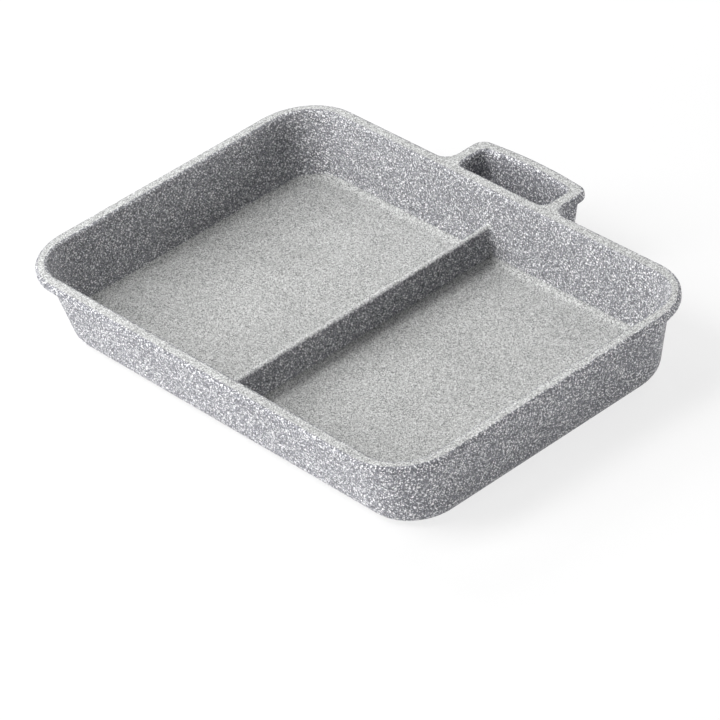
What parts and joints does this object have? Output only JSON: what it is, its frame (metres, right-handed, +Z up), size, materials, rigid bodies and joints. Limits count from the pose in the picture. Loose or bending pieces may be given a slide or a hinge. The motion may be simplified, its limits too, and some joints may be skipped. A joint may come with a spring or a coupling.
{
  "type": "divided frying pan",
  "caption": "Rectangular cast frying pan with a flat lip, a low wall that divides it into two equal compartments and a deep loop at the back for a clip-on grip.",
  "frame": {"origin": "on the underside, at the middle of the base", "axes": "+X along the long side, +Y towards the loop, +Z up"},
  "size_m": [0.28, 0.215, 0.043],
  "materials": {
    "marble_coat": "die-cast aluminium under a matte grey non-stick coat with fine white specks",
    "induction_steel": "plain ferritic stainless steel"
  },
  "bodies": {
    "root": {"pan_shell": "marble_coat", "divider_wall": "marble_coat", "loop_handle": "marble_coat", "induction_plate": "induction_steel"}
  },
  "joints": []
}
